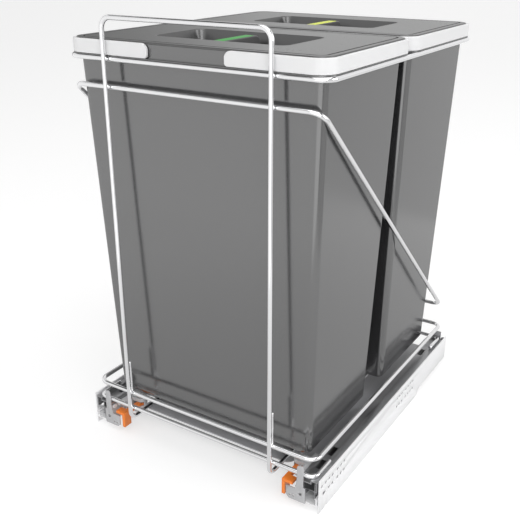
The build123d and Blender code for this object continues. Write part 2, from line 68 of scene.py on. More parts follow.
def bent_path(corners, radii, closed=False, steps=BEND_STEPS, support=0.002):
    """Straight runs joined by tangent arcs, in any number of dimensions.

    The points of an arc are centre - r cos t inner + r sin t across, where inner halves the
    corner and t goes from minus half the turn to half of it. A point close to each end of a
    run keeps the shading of the run flat.
    """
    corners = np.asarray(corners, float)
    count = len(corners)
    radii = np.broadcast_to(np.asarray(radii, float), (count,))
    stretches = []
    for i in range(count):
        here = corners[i]
        if not closed and i in (0, count - 1):
            stretches.append(here[None])
            continue
        to_last = unit(corners[i - 1] - here)
        to_next = unit(corners[(i + 1) % count] - here)
        turn = np.pi - np.arccos(np.clip(to_last @ to_next, -1, 1))
        if radii[i] <= 0 or turn < 1e-4:
            stretches.append(here[None])
            continue
        inner = unit(to_last + to_next)
        middle = here + inner * radii[i] / np.cos(turn / 2)
        across = unit(to_next - (to_next @ inner) * inner)
        swing = np.linspace(-turn / 2, turn / 2, steps + 1)[:, None]
        stretches.append(middle + radii[i] * (np.sin(swing) * across - np.cos(swing) * inner))
    points = []
    for i, stretch in enumerate(stretches):
        points.append(stretch)
        if i + 1 == count and not closed:
            break
        start, end = stretch[-1], stretches[(i + 1) % count][0]
        run = np.linalg.norm(end - start)
        share = min(support / max(run, 1e-9), 0.3)
        points.append(start + (end - start) * np.array([[share], [1 - share]]))
    return np.concatenate(points)


def rounded_outline(half_a, half_b, radii, steps=BEND_STEPS, support=0.0015):
    """Rounded rectangles, one per station: half sides a and b, four corner radii each.

    A corner's arc is corner centre + r (cos t, sin t), and each side has three more points,
    two of them close to its ends.
    """
    half_a, half_b = np.atleast_1d(half_a).astype(float), np.atleast_1d(half_b).astype(float)
    radii = np.asarray(radii, float)
    if radii.ndim < 2:
        radii = np.broadcast_to(np.atleast_1d(radii)[..., None], (len(half_a), 4))
    arcs = []
    for k, (sa, sb) in enumerate(((1, 1), (-1, 1), (-1, -1), (1, -1))):
        t = (np.pi / 2) * (k + np.linspace(0, 1, steps + 1))
        r = np.clip(radii[:, k], 1e-5, np.minimum(half_a, half_b))[:, None]
        a = sa * (half_a[:, None] - r) + r * np.cos(t)
        b = sb * (half_b[:, None] - r) + r * np.sin(t)
        arcs.append(np.stack([a, b], -1))
    parts = []
    for k in range(4):
        start, end = arcs[k][:, -1:], arcs[(k + 1) % 4][:, :1]
        length = np.linalg.norm(end - start, axis=-1, keepdims=True)
        share = np.minimum(support / np.maximum(length, 1e-9), 0.3)
        inset = (end - start) * share
        parts += [arcs[k], start + inset, (start + end) / 2, end - inset]
    return np.concatenate(parts, axis=1)


def smooth_shaded(mesh):
    mesh.polygons.foreach_set("use_smooth", np.full(len(mesh.polygons), True))


def piece(name, points, faces, slot, body):
    """A mesh with its faces outward (its signed volume is positive), riding on a body."""
    mesh = bpy.data.meshes.new(name)
    mesh.from_pydata(points, [], faces)
    mesh.validate()
    mesh.update()
    mesh.calc_loop_triangles()
    tris = np.zeros(len(mesh.loop_triangles) * 3, np.int32)
    mesh.loop_triangles.foreach_get("vertices", tris)
    p = np.asarray(points, float)[tris].reshape(-1, 3, 3)
    if np.einsum("ij,ij->i", p[:, 0], np.cross(p[:, 1], p[:, 2])).sum() < 0:
        mesh.flip_normals()
    smooth_shaded(mesh)
    obj = bpy.data.objects.new(name, mesh)
    bpy.context.scene.collection.objects.link(obj)
    mesh.materials.append(finishes[slot])
    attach(obj, body)
    return obj


def grid_faces(rows, columns, wrap_rows=False, first=0):
    """Quads between neighbouring rings; each ring's points are closed into a loop."""
    r = np.arange(rows if wrap_rows else rows - 1)[:, None]
    c = np.arange(columns)[None]
    nr, nc = (r + 1) % rows, (c + 1) % columns
    quads = np.stack([r * columns + c, r * columns + nc, nr * columns + nc, nr * columns + c], -1)
    return (quads.reshape(-1, 4) + first).tolist()


def skin(rings, closed=False, first=0):
    """Points and faces of a stack of rings, with a flat face over each open end."""
    rows, columns = rings.shape[:2]
    faces = grid_faces(rows, columns, closed, first)
    if not closed:
        faces.append((first + np.arange(columns)[::-1]).tolist())
        faces.append((first + (rows - 1) * columns + np.arange(columns)).tolist())
    return rings.reshape(-1, 3), faces


def joined(parts):
    """Several open stacks of rings in one mesh."""
    points, faces, first = [], [], 0
    for rings in parts:
        p, f = skin(rings, first=first)
        points.append(p)
        faces += f
        first += len(p)
    return np.concatenate(points), faces


def stacked(stations, radii, centre_y):
    """Rounded rectangles lying flat, carried along a profile.

    Each station is (half width, half depth, corner radius, height), and the profile between
    stations has its own small bends, so every edge is rounded.
    """
    profile = bent_path(stations, radii, steps=5, support=0.001)
    plan = rounded_outline(profile[:, 0], profile[:, 1], profile[:, 2], FINE_BEND_STEPS)
    height = np.broadcast_to(profile[:, 3, None, None], plan.shape[:2] + (1,))
    rings = np.concatenate([plan, height], -1)
    rings[..., 1] += centre_y
    return rings


def tube(path, radius, closed=False):
    """A round section carried along a path, its frame turned no more than the path turns.

    A point is centre + r (cos t side + sin t up); the side vector is carried from point to
    point by removing what lies along the new direction. Open ends are domed.
    """
    path = np.asarray(path, float)
    if closed:
        ahead, behind = np.roll(path, -1, 0), np.roll(path, 1, 0)
    else:
        ahead = np.concatenate([path[1:], path[-1:]])
        behind = np.concatenate([path[:1], path[:-1]])
    along = unit(unit(ahead - path + 1e-15) + unit(path - behind + 1e-15))
    along[0] = unit(ahead[0] - behind[0])
    along[-1] = unit(ahead[-1] - behind[-1])
    guess = np.array([0.0, 0.0, 1.0]) if abs(along[0][2]) < 0.9 else np.array([1.0, 0.0, 0.0])
    side = [unit(guess - (guess @ along[0]) * along[0])]
    for direction in along[1:]:
        side.append(unit(side[-1] - (side[-1] @ direction) * direction))
    side = np.array(side)
    up = np.cross(along, side)
    scale = np.ones(len(path))
    if not closed:
        turn = np.linspace(0, np.pi / 2, DOME_STEPS)[:-1]
        for end, step in ((0, -1), (-1, 1)):
            cap = path[end] + step * along[end] * (radius * DOME * np.cos(turn))[:, None]
            cap, size = (cap, np.sin(turn)) if end == 0 else (cap[::-1], np.sin(turn)[::-1])
            size = np.maximum(size, DOME_TIP)
            order = (cap, path) if end == 0 else (path, cap)
            path = np.concatenate(order)
            scale = np.concatenate((size, scale) if end == 0 else (scale, size))
            frames = []
            for f in (side, up, along):
                extra = np.repeat(f[end][None], len(cap), 0)
                frames.append(np.concatenate((extra, f) if end == 0 else (f, extra)))
            side, up, along = frames
    t = np.linspace(0, 2 * np.pi, WIRE_SIDES, endpoint=False)[None, :, None]
    ring = np.cos(t) * side[:, None] + np.sin(t) * up[:, None]
    return path[:, None] + radius * scale[:, None, None] * ring


# ---- shader arithmetic -----------------------------------------------------------------------
class Field:
    """A value that varies from place to place. Arithmetic on it adds Math nodes."""

    def __init__(self, nodes, socket):
        self.nodes = nodes
        self.socket = socket

    def op(self, operation, *others):
        return self.nodes.add("ShaderNodeMath", {"operation": operation}, [self, *others])

    def __add__(self, other):
        return self.op("ADD", other)

    def __mul__(self, other):
        return self.op("MULTIPLY", other)

    def __sub__(self, other):
        return self.op("SUBTRACT", other)

    __radd__ = __add__
    __rmul__ = __mul__

    def clamped(self, low, high):
        return self.op("MAXIMUM", low).op("MINIMUM", high)


class Nodes:
    """A node tree, built from expressions."""

    def __init__(self, owner):
        owner.use_nodes = True
        self.tree = owner.node_tree

    def add(self, kind, settings, inputs, output=0):
        """A node of that type: its settings first, then its sockets' values or links."""
        node = self.tree.nodes.new(kind)
        for key, value in settings.items():
            setattr(node, key, value)
        for key, value in inputs.items() if isinstance(inputs, dict) else enumerate(inputs):
            self.feed(node.inputs[key], value)
        return Field(self, node.outputs[output])

    def feed(self, socket, value):
        if isinstance(value, Field):
            self.tree.links.new(value.socket, socket)
        else:
            socket.default_value = value


class Shader(Nodes):
    """One node material."""

    def __init__(self, name):
        self.material = bpy.data.materials.new(name)
        super().__init__(self.material)
        self.surface = self.tree.nodes["Principled BSDF"]
        self.place = self.add("ShaderNodeTexCoord", {}, {}, "Object")

    def stretched(self, scale):
        """The place on the piece, multiplied along each axis."""
        return self.add("ShaderNodeMapping", {}, {"Vector": self.place, "Scale": scale}, "Vector")

    def noise(self, scale, detail=2.0, roughness=0.5, place=None):
        """Cloudy noise from 0 to 1; scale is in features per metre."""
        inputs = {"Vector": place or self.place, "Scale": scale, "Detail": detail,
                  "Roughness": roughness}
        return self.add("ShaderNodeTexNoise", {}, inputs, 0)

    def cells(self, scale):
        """Distance to the nearest of a scatter of points."""
        return self.add("ShaderNodeTexVoronoi", {}, {"Vector": self.place, "Scale": scale}, 0)

    def mixed(self, share, first, second):
        """A colour between two colours."""
        node = self.tree.nodes.new("ShaderNodeMix")
        node.data_type = "RGBA"
        self.feed(node.inputs[0], share)
        self.feed(node.inputs[6], (*first, 1.0) if isinstance(first, tuple) else first)
        self.feed(node.inputs[7], (*second, 1.0) if isinstance(second, tuple) else second)
        return Field(self, node.outputs[2])

    def bumped(self, height, strength, depth):
        inputs = {"Height": height, "Strength": strength, "Distance": depth}
        return self.add("ShaderNodeBump", {}, inputs, "Normal")

    def finish(self, **sockets):
        for key, value in sockets.items():
            self.feed(self.surface.inputs[key.replace("_", " ")], value)
        return self.material


GRAIN_DEPTH = 0.2 * MM
PEEL_DEPTH = 0.3 * MM


def drawn_chrome():
    """Bright plating over drawn wire: near-mirror, with faint handling haze and tiny pits."""
    s = Shader("bright chrome over drawn wire")
    haze = s.noise(38.0, 3.0)
    grain = s.noise(900.0, 2.0)
    rough = 0.05 + haze * 0.05 + grain * 0.02
    tint = s.mixed(haze, (0.90, 0.90, 0.915), (0.96, 0.96, 0.965))
    return s.finish(Base_Color=tint, Metallic=1.0, Roughness=rough,
                    Normal=s.bumped(grain, 0.05, GRAIN_DEPTH))


def plated_sheet(name, light, dark, rough_low, brush, metal=0.9):
    """Zinc-plated rolled sheet: fine lines along the rolling direction and a cloudy bloom."""
    s = Shader(name)
    lines = s.noise(1.0, 3.0, 0.6, s.stretched(brush))
    bloom = s.noise(55.0, 3.0, 0.55)
    crystals = s.cells(420.0)
    share = (lines * 0.5 + bloom * 0.6 - 0.1).clamped(0.0, 1.0)
    rough = rough_low + bloom * 0.10 + lines * 0.08
    height = lines * 0.7 + crystals * 0.3
    return s.finish(Base_Color=s.mixed(share, dark, light), Metallic=metal, Roughness=rough,
                    Normal=s.bumped(height, 0.10, GRAIN_DEPTH))


def moulded(name, light, dark, rough_low, rough_high, grain_scale, grain, level=0.5, ior=1.5):
    """Moulded plastic: a fine spark-eroded grain, faint flow marks and a slight rub of dust."""
    s = Shader(name)
    flow = s.noise(1.0, 2.0, 0.5, s.stretched((9.0, 9.0, 3.0)))
    dust = s.noise(260.0, 4.0, 0.65)
    pores = s.noise(grain_scale, 2.0, 0.6)
    share = (flow * 0.7 + dust * 0.3).clamped(0.0, 1.0)
    rough = rough_low + (dust * 0.6 + flow * 0.4) * (rough_high - rough_low)
    return s.finish(Base_Color=s.mixed(share, dark, light), Roughness=rough, IOR=ior,
                    Specular_IOR_Level=level, Normal=s.bumped(pores, grain, GRAIN_DEPTH))


def powder_coat():
    """Pale baked powder: orange-peel ripple and a soft sheen."""
    s = Shader("pale grey powder coat")
    peel = s.noise(420.0, 2.0, 0.5)
    cloud = s.noise(12.0, 2.0)
    return s.finish(Base_Color=s.mixed(cloud, (0.38, 0.38, 0.395), (0.44, 0.44, 0.455)),
                    Roughness=0.32 + peel * 0.12, Normal=s.bumped(peel, 0.12, PEEL_DEPTH))


ALONG_RAIL = (600.0, 5.0, 600.0)        # brushing, in lines per metre across each axis
EVEN = (300.0, 300.0, 300.0)
ALONG_SPRING = (400.0, 400.0, 40.0)
finishes = {
    "chrome_wire": drawn_chrome(),
    # lighter and darker colour, lowest roughness, brushing, and how metallic it is
    "zinc_steel": plated_sheet("bright zinc-plated sheet", (0.97, 0.97, 0.975),
                               (0.90, 0.90, 0.91), 0.22, ALONG_RAIL, 0.28),
    # the inner rails' steel is darkened: painted shade in the channel under the tray
    "shade_darkened_inner_steel": plated_sheet("zinc of the inner rails, darkened as painted shade", (0.50, 0.50, 0.51),
                                (0.36, 0.36, 0.37), 0.26, ALONG_RAIL),
    "bracket_steel": plated_sheet("dull zinc of the front brackets", (0.60, 0.60, 0.61),
                                  (0.48, 0.48, 0.49), 0.34, ALONG_RAIL, 0.4),
    "ball_steel": plated_sheet("polished balls and cage strip", (0.80, 0.80, 0.82),
                               (0.62, 0.62, 0.64), 0.10, EVEN),
    "spring_steel": plated_sheet("bare spring wire", (0.66, 0.66, 0.68),
                                 (0.48, 0.48, 0.50), 0.22, ALONG_SPRING),
    "pale_sheet": powder_coat(),
    # lighter and darker colour, lowest and highest roughness, grain's scale and strength,
    # and the shine's level and index of refraction
    "bin_plastic": moulded("dark grey bin plastic", (0.034, 0.034, 0.035),
                           (0.028, 0.028, 0.029), 0.12, 0.20, 2600.0, 0.05, 1.0, 1.92),
    "lid_plastic": moulded("dark grey lid plastic", (0.036, 0.036, 0.036),
                           (0.030, 0.030, 0.031), 0.24, 0.34, 2200.0, 0.10, 1.0, 1.6),
    "white_plastic": moulded("satin white plastic", (0.74, 0.74, 0.74),
                             (0.70, 0.70, 0.71), 0.28, 0.38, 1900.0, 0.05),
    "pale_plastic": moulded("pale grey plastic", (0.58, 0.58, 0.59),
                            (0.50, 0.50, 0.51), 0.34, 0.46, 1900.0, 0.08),
    "grey_plastic": moulded("mid grey plastic", (0.20, 0.20, 0.21),
                            (0.15, 0.15, 0.16), 0.34, 0.46, 1900.0, 0.08),
    "orange_plastic": moulded("orange lever plastic", (0.92, 0.25, 0.035),
                              (0.82, 0.20, 0.026), 0.26, 0.38, 1900.0, 0.06),
    "green_tag": moulded("green tag plastic", (0.006, 0.36, 0.022),
                         (0.004, 0.27, 0.015), 0.30, 0.40, 1900.0, 0.04, 0.15),
    "lime_tag": moulded("lime tag plastic", (0.72, 0.80, 0.02),
                        (0.62, 0.70, 0.015), 0.30, 0.40, 1900.0, 0.04, 0.15),
}


# ---- wire frame ------------------------------------------------------------------------------
ring_low, ring_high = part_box("bin_support_ring")
hoop_low, hoop_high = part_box("main_hoop")
upper_low, upper_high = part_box("tray_upper_ring")
brace_low, brace_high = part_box("brace_loop")
front_low, front_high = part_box("tray_front_wire")
rear_low, rear_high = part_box("tray_rear_wire")
post_low, post_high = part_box("leg_doublers")

WIRE = (ring_high.z - ring_low.z) / 2           # radius of the frame wire
RING_CORNER = 17 * MM
TRAY_CORNER = 14 * MM
BRACE_CORNER = 15 * MM
HOOP_CORNER = 13 * MM
FLOOR_BEND = 12 * MM
LOW_WIRE_BEND = 10 * MM
BEAD_HALF = np.array([0.62, 0.45, 0.62])        # a weld bead's half sizes, in wire radii
BEAD_POLE = np.pi / 2 * 0.96                    # the beads' poles are cut off just short
BEAD_ROWS, BEAD_COLUMNS = 7, 12
POST_WELDS = (0.3, 0.85)                        # places along the rods behind the legs
POST_WELD_SINK = 0.1 * MM

ring_z = (ring_low.z + ring_high.z) / 2
upper_z = (upper_low.z + upper_high.z) / 2
low_wire_z = (front_low.z + front_high.z) / 2
ring_x, ring_y = ring_high.x - WIRE, ring_high.y - WIRE
hoop_x, hoop_y = hoop_high.x - WIRE, hoop_high.y - WIRE
floor_z, hoop_z = hoop_low.z + WIRE, hoop_high.z - WIRE
brace_front_z, brace_rear_z = brace_high.z - WIRE, brace_low.z + WIRE


def flat_loop(half_x, half_y, corner, z_front, z_rear=None):
    """A closed rounded rectangle of wire, level or sloping from front to rear."""
    z_rear = z_front if z_rear is None else z_rear
    corners = [(-half_x, -half_y, z_front), (half_x, -half_y, z_front),
               (half_x, half_y, z_rear), (-half_x, half_y, z_rear)]
    return bent_path(corners, corner, closed=True)


def wire_piece(name, path, closed, node):
    """One wire of the frame, standing for its CAD node."""
    points, faces = skin(tube(path, WIRE, closed), closed)
    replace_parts(piece(name, points, faces, "chrome_wire", "tray"), node)


def wire_frame():
    """The hoop, the two rings, the sloping brace, the low wires and the rods behind the legs."""
    hoop = [(-hoop_x, hoop_y, ring_z), (-hoop_x, hoop_y, floor_z), (-hoop_x, -hoop_y, floor_z),
            (-hoop_x, -hoop_y, hoop_z), (hoop_x, -hoop_y, hoop_z), (hoop_x, -hoop_y, floor_z),
            (hoop_x, hoop_y, floor_z), (hoop_x, hoop_y, ring_z)]
    bends = [0, FLOOR_BEND, FLOOR_BEND, HOOP_CORNER, HOOP_CORNER, FLOOR_BEND, FLOOR_BEND, 0]
    wire_piece("hoop_wire", bent_path(hoop, bends), False, "main_hoop")
    ring = flat_loop(ring_x, ring_y, RING_CORNER, ring_z)
    wire_piece("support_ring_wire", ring, True, "bin_support_ring")
    ring = flat_loop(upper_high.x - WIRE, ring_y, TRAY_CORNER, upper_z)
    wire_piece("tray_ring_wire", ring, True, "tray_upper_ring")
    brace = flat_loop(brace_high.x - WIRE, ring_y, BRACE_CORNER, brace_front_z, brace_rear_z)
    wire_piece("brace_wire", brace, True, "brace_loop")
    x, z = front_high.x - WIRE, low_wire_z
    for name, node, y, tail in (
            ("low_front_wire", "tray_front_wire", front_low.y + WIRE, front_high.y),
            ("low_rear_wire", "tray_rear_wire", rear_high.y - WIRE, rear_low.y)):
        corners = [(-x, tail, z), (-x, y, z), (x, y, z), (x, tail, z)]
        wire_piece(name, bent_path(corners, [0, LOW_WIRE_BEND, LOW_WIRE_BEND, 0]), False, node)
    y, radius = (post_low.y + post_high.y) / 2, (post_high.y - post_low.y) / 2
    foot, head = post_low.z + DOME * radius, post_high.z - DOME * radius
    rods = [tube(bent_path([(x, y, foot), (x, y, head)], 0), radius) for x in (-hoop_x, hoop_x)]
    points, faces = joined(rods)
    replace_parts(piece("doubler_rods", points, faces, "chrome_wire", "tray"), "leg_doublers")


def bead(centre):
    """A squashed ball: centre + half sizes times (cos v cos u, cos v sin u, sin v)."""
    v = np.linspace(-BEAD_POLE, BEAD_POLE, BEAD_ROWS)[:, None, None]
    u = np.linspace(0, 2 * np.pi, BEAD_COLUMNS, endpoint=False)[None, :, None]
    ball = np.concatenate([np.cos(v) * np.cos(u), np.cos(v) * np.sin(u), np.sin(v) + 0 * u], -1)
    return np.asarray(centre) + ball * BEAD_HALF * WIRE


def weld_spots():
    """The small swellings where two crossing wires are welded."""
    post_welds = [post_low.z + share * (post_high.z - post_low.z) for share in POST_WELDS]
    spots = []
    for x in (-hoop_x, hoop_x):
        for z in (ring_z, brace_front_z, upper_z, low_wire_z):
            spots.append(bead((x, -hoop_y + WIRE, z)))
        for z in (brace_rear_z, upper_z, low_wire_z):
            spots.append(bead((x, hoop_y - WIRE, z)))
        for z in post_welds:
            spots.append(bead((x, post_low.y + POST_WELD_SINK, z)))
    points, faces = joined(spots)
    piece("weld_spots", points, faces, "chrome_wire", "tray")


# ---- bins, lids and handles ------------------------------------------------------------------
BIN_WALL = 2.4 * MM
BASE_HALF_WIDTH = 153.9 * MM
BASE_HALF_DEPTH = 81.8 * MM
TUB_CORNER = 9 * MM
TUB_FLARE = 14.3 * MM                   # how much wider each side is at the rim
BASE_EDGE = 6 * MM
RIM_CORNER = 22 * MM
RIM_THICKNESS = 1.2 * MM
COLLAR_INSET = 4.8 * MM
COLLAR_WALL = 2.2 * MM
HANDLE_THICKNESS = 4 * MM
ARM_TOP_RADIUS = 8 * MM
ARM_LOW_RADIUS = 4 * MM
LID_EDGE = 1.2 * MM
LID_THICKNESS = 2.4 * MM
LID_SKIRT = 7.5 * MM
SKIRT_GAP = 0.4 * MM
SKIRT_WALL = 2.0 * MM
GROOVE_INSET = 7.0 * MM
GROOVE_WIDTH = 2.6 * MM
GROOVE_DEPTH = 1.4 * MM
RECESS = (93 * MM, 48 * MM, 12 * MM)    # half width, half depth, corner radius at its mouth
RECESS_DEPTH = 30 * MM
RECESS_DRAFT = np.tan(np.radians(14))
RECESS_WALL = 2.0 * MM
GRIP_HALF_WIDTH = 8 * MM
GRIP_GAP = 12 * MM
GRIP_SINK = 1.0 * MM
GRIP_END_RADIUS = 12 * MM
GRIP_EDGE = 1.2 * MM
GRIP_CORNERS = (GRIP_END_RADIUS, 1 * MM, 1 * MM, 2 * MM)
TAG_CORNER = 2 * MM
TAG_EDGE = 0.4 * MM
CUSHION_STEPS = 6
PIN_REACH = 3.5 * MM                    # from a handle pin's middle to the end of its head
PIN_HEADROOM = 0.7 * MM
PIN_NOTCH = 4.2 * MM
FLOOR_PATCH = 3 * MM                    # how far the recess floor's first ring stands in
ARM_RIM = 0.7 * MM                      # the handle strip's rounded end
ARM_EDGE = 0.9 * MM
END_ZONE = 15 * MM                      # length at each end with its own closer stations


def grown(size, by, z):
    """A station whose outline stands that much further out all round."""
    return (size[0] + by, size[1] + by, max(size[2] + by, 0.5 * MM), z)


def bin_shell(end):
    """Tapered tub, flat rim, collar and inner wall, as one closed skin."""
    low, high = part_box("bin_" + end)
    centre = (low.y + high.y) / 2
    rim = (high.x, (high.y - low.y) / 2, RIM_CORNER)
    base = (BASE_HALF_WIDTH, BASE_HALF_DEPTH, TUB_CORNER)
    bottom, rim_z = low.z, ring_z + WIRE
    draft = TUB_FLARE / (rim_z - bottom)
    inside = draft * (rim_z + RIM_THICKNESS - bottom) - BIN_WALL
    floor_inside = draft * BIN_WALL - BIN_WALL
    inner_corner = TUB_CORNER - BIN_WALL
    stations = [
        grown(base, -BASE_EDGE * 2, bottom),
        grown(base, 0, bottom),
        (base[0] + TUB_FLARE, base[1] + TUB_FLARE, TUB_CORNER, rim_z),
        (*rim, rim_z),
        (*rim, rim_z + RIM_THICKNESS),
        grown(rim, -COLLAR_INSET, rim_z + RIM_THICKNESS),
        grown(rim, -COLLAR_INSET, high.z),
        grown(rim, -COLLAR_INSET - COLLAR_WALL, high.z),
        grown(rim, -COLLAR_INSET - COLLAR_WALL, rim_z + RIM_THICKNESS),
        (base[0] + inside, base[1] + inside, inner_corner, rim_z + RIM_THICKNESS),
        (base[0] + floor_inside, base[1] + floor_inside, inner_corner, bottom + BIN_WALL),
        grown(base, -BASE_EDGE * 2, bottom + BIN_WALL),
    ]
    radii = np.array([0, 6, 1.0, 0.5, 0.5, 0.3, 0.6, 0.6, 0.8, 1.0, 5, 0]) * MM
    points, faces = skin(stacked(stations, radii, centre))
    shell = piece("bin_shell_" + end, points, faces, "bin_plastic", "bin_" + end)
    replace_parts(shell, "bin_" + end)


def lid_shell(end):
    """Finger recess, flat top with its groove, edge, skirt and the underside of the recess."""
    low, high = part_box("bin_lid_" + end)
    centre = (low.y + high.y) / 2
    edge = (high.x, (high.y - low.y) / 2, RIM_CORNER - COLLAR_INSET)
    top, under = high.z, high.z - LID_THICKNESS
    floor = top - RECESS_DEPTH
    shrink = -RECESS_DRAFT * RECESS_DEPTH
    skirt = -(COLLAR_WALL + SKIRT_GAP)
    stations = [
        grown(RECESS, shrink - FLOOR_PATCH, floor),
        grown(RECESS, shrink, floor),
        grown(RECESS, 0, top),
        grown(edge, -GROOVE_INSET - GROOVE_WIDTH, top),
        grown(edge, -GROOVE_INSET - GROOVE_WIDTH, top - GROOVE_DEPTH),
        grown(edge, -GROOVE_INSET, top - GROOVE_DEPTH),
        grown(edge, -GROOVE_INSET, top),
        grown(edge, 0, top),
        grown(edge, 0, under),
        grown(edge, skirt, under),
        grown(edge, skirt, under - LID_SKIRT),
        grown(edge, skirt - SKIRT_WALL, under - LID_SKIRT),
        grown(edge, skirt - SKIRT_WALL, under),
        grown(RECESS, RECESS_WALL, under),
        grown(RECESS, RECESS_WALL + shrink, floor - RECESS_WALL),
        grown(RECESS, shrink - FLOOR_PATCH, floor - RECESS_WALL),
    ]
    radii = np.array([0, 2.5, 1.4, 0.3, 0.3, 0.3, 0.3, LID_EDGE / MM, 0.4,
                      0.3, 0.5, 0.5, 0.5, 1.0, 3.0, 0]) * MM
    rings = stacked(stations, radii, centre)
    # the skirt steps up over the heads of the handle pins
    pins_low, pins_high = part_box("handle_pins_" + end)
    pin_x = pins_high.x - PIN_REACH
    over = pins_high.z + PIN_HEADROOM
    beside = np.abs(np.abs(rings[..., 0]) - pin_x) < PIN_NOTCH
    skirt_part = (rings[..., 2] < over) & (np.abs(rings[..., 1] - centre) > RECESS[1] + 20 * MM)
    rings[..., 2] = np.where(beside & skirt_part, over, rings[..., 2])
    points, faces = skin(rings)
    shell = piece("lid_shell_" + end, points, faces, "lid_plastic", "lid_" + end)
    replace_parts(shell, "bin_lid_" + end)
    return centre, top


def cushion_block(outline_halves, corner_radii, half_width, edge):
    """A prism with rounded rims: outline (a, b) drawn in by e (1 - sin t) as w nears its end.

    Returns (w, a, b) per point, for the caller to turn into x, y and z.
    """
    t = np.linspace(0, np.pi / 2, CUSHION_STEPS)
    inset = edge * (1 - np.sin(t))
    level = half_width - edge * (1 - np.cos(t))
    level = np.concatenate([level, -level[::-1]])
    inset = np.concatenate([inset, inset[::-1]])
    half_a, half_b = outline_halves[0] - inset, outline_halves[1] - inset
    radii = np.maximum(np.asarray(corner_radii)[None] - inset[:, None], 0.2 * MM)
    plan = rounded_outline(half_a, half_b, radii)
    w = np.broadcast_to(level[:, None, None], plan.shape[:2] + (1,))
    return np.concatenate([w, plan], -1)


def grip_and_tag(end, centre, top):
    """The upright fin in the recess, and the colour strip let into its top."""
    front = centre - RECESS[1] - 1 * MM
    rear = centre + RECESS[1] - GRIP_GAP
    low, high = top - RECESS_DEPTH - 0.5 * MM, top - GRIP_SINK
    block = cushion_block(((rear - front) / 2, (high - low) / 2), GRIP_CORNERS, GRIP_HALF_WIDTH,
                          GRIP_EDGE)
    block[..., 1] += (front + rear) / 2
    block[..., 2] += (high + low) / 2
    points, faces = skin(block)
    piece("lid_grip_" + end, points, faces, "lid_plastic", "lid_" + end)
    tag_low, tag_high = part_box("colour_tag_" + end)
    half = (tag_high - tag_low) / 2
    strip = cushion_block((half.x, half.y), np.full(4, TAG_CORNER), half.z, TAG_EDGE)
    tag = np.stack([strip[..., 1], strip[..., 2] + (tag_low.y + tag_high.y) / 2,
                    strip[..., 0] + (tag_low.z + tag_high.z) / 2], -1)
    slot = "green_tag" if end == "front" else "lime_tag"
    points, faces = skin(tag)
    tag_piece = piece("tag_strip_" + end, points, faces, slot, "lid_" + end)
    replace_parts(tag_piece, "colour_tag_" + end)


def rounding(radius, near):
    """The height of a quarter circle of that radius, at a distance from its start."""
    return np.sqrt(np.maximum(radius ** 2 - np.maximum(radius - near, 0) ** 2, 0))


def handle_band(side, end):
    """Satin band round one side of the collar.

    Its section is a rounded strip. Along the arms the top comes down as a quarter circle and
    the lower corner as a smaller one, and the strip thins over the last of its length.
    """
    node = f"bin_handle_{side}_{end}"
    low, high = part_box(node)
    centre = (low.y + high.y) / 2
    s = 1 if side == "right" else -1
    reach = high.x if s > 0 else -low.x
    start = low.x if s > 0 else -high.x
    half_y, t = (high.y - low.y) / 2, HANDLE_THICKNESS
    x, y = reach - t / 2, half_y - t / 2
    corner = RIM_CORNER - t / 2
    line = bent_path([(start, -y), (x, -y), (x, y), (start, y)], [0, corner, corner, 0], steps=20)
    gap = np.linalg.norm(np.diff(line, axis=0), axis=1)
    travel = np.concatenate([[0], np.cumsum(gap)])
    total = travel[-1]
    bend = ARM_TOP_RADIUS * (1 - np.cos(np.linspace(0, np.pi / 2, 13)))
    tip = 0.4 * MM * (1 - np.cos(np.linspace(0, np.pi / 2, 4)))
    fine = np.concatenate([tip, bend[2:], [11 * MM, 14 * MM]])
    main = travel[(travel > END_ZONE) & (travel < total - END_ZONE)]
    stations = np.unique(np.round(np.concatenate([fine, total - fine, main]), 7))
    middle = np.stack([np.interp(stations, travel, line[:, k]) for k in (0, 1)], -1)
    ahead = np.gradient(middle, axis=0)
    out = unit(np.stack([ahead[:, 1], -ahead[:, 0]], -1))
    near = np.minimum(stations, total - stations)
    top = high.z - ARM_TOP_RADIUS + rounding(ARM_TOP_RADIUS, near)
    foot = low.z + ARM_LOW_RADIUS - rounding(ARM_LOW_RADIUS, near)
    half_t = t / 2 - ARM_RIM + rounding(ARM_RIM, near)
    section = rounded_outline(half_t, (top - foot) / 2, np.minimum(ARM_EDGE, half_t), steps=5,
                              support=0.6 * MM)
    across, up = section[..., 0], section[..., 1] + ((top + foot) / 2)[:, None]
    rings = np.stack([s * (middle[:, None, 0] + across * out[:, None, 0]),
                      middle[:, None, 1] + across * out[:, None, 1] + centre, up], -1)
    points, faces = skin(rings)
    band = piece(f"handle_band_{side}_{end}", points, faces, "white_plastic",
                 f"handle_{side}_{end}")
    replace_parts(band, node)


# ---- CAD pieces with softened edges ----------------------------------------------------------
node_body = {n: b for b, ns in frame["record"]["behaviour"]["bodies"].items() for n in ns}
node_slot = {s["node"]: s["material_slot"] for s in frame["record"]["subparts"]}
# the inner rails take the darkened steel as painted shade; the front brackets are duller zinc
FINISH_OF = {                           # pieces duller than the rest of their slot
    "intermediate_rail": "shade_darkened_inner_steel", "drawer_rail": "shade_darkened_inner_steel",
    "front_bracket": "bracket_steel",
}
EDGES = {                               # mm
    "cabinet_rail": 0.25, "drawer_rail": 0.3, "intermediate_rail": 0.3, "front_bracket": 0.3,
    "lock_body": 0.8, "release_lever": 0.7, "rear_stop": 0.8,
}
BASE_PLATE_EDGE = 0.3 * MM
MERGE_GAP = 0.01 * MM
FLAT_TURN = np.radians(1.0)             # flatter than this is one face
SHARP_TURN = np.radians(32)             # and sharper than this is an edge


